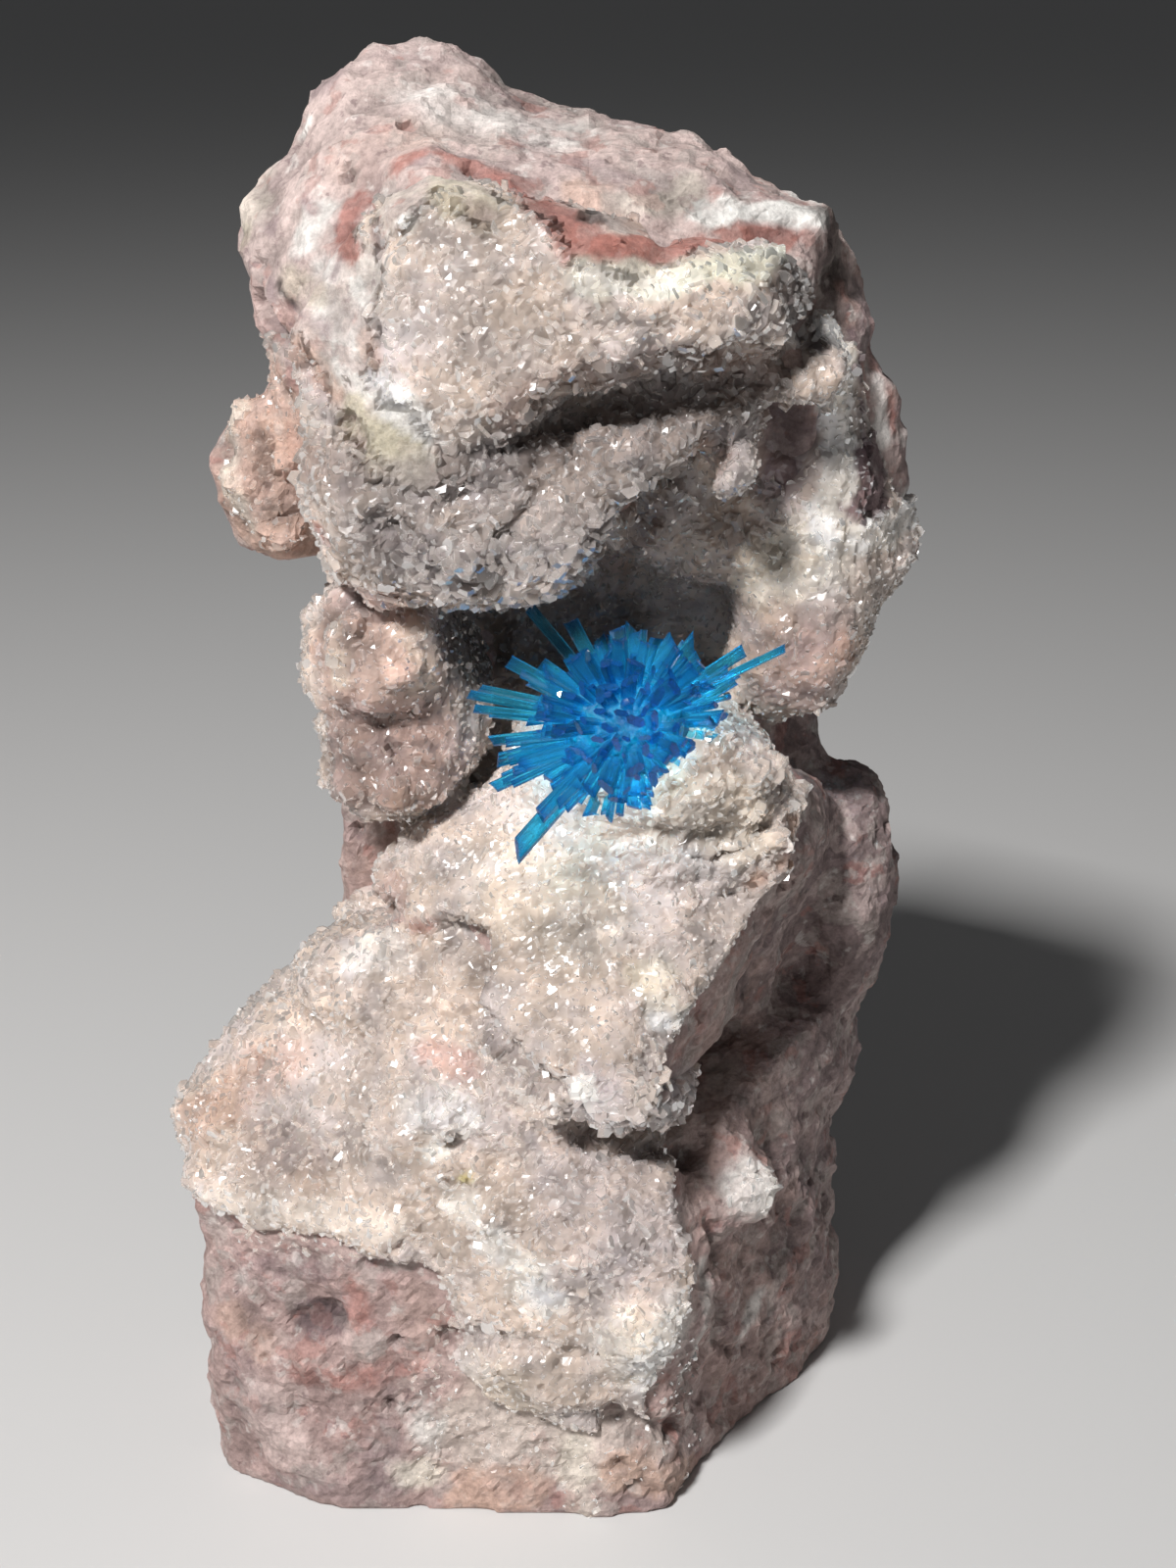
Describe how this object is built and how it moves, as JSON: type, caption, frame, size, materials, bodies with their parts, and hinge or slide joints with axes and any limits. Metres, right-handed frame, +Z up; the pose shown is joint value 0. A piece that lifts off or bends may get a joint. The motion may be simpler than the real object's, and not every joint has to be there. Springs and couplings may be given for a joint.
{
  "type": "pentagonite mineral specimen",
  "caption": "Tall piece of red-brown volcanic rock with a crust of small beige zeolite crystals and one spray of blue bladed crystals in a hollow.",
  "frame": {"origin": "on the flat broken foot, near its middle", "axes": "+Z up along the specimen's height, -Y towards the crystallised front, +X to the right seen from the front"},
  "size_m": [0.0502, 0.0375, 0.0927],
  "materials": {
    "volcanic_rock": "rough broken rock, mottled pink, brick red and grey",
    "zeolite_crystal": "crust of small glassy translucent crystals, beige to grey",
    "blue_crystal": "clear azure blue blades with a glassy lustre"
  },
  "bodies": {
    "root": {"matrix_rock": "volcanic_rock", "heulandite_crust": "zeolite_crystal", "pentagonite_spray": "blue_crystal"}
  },
  "joints": []
}
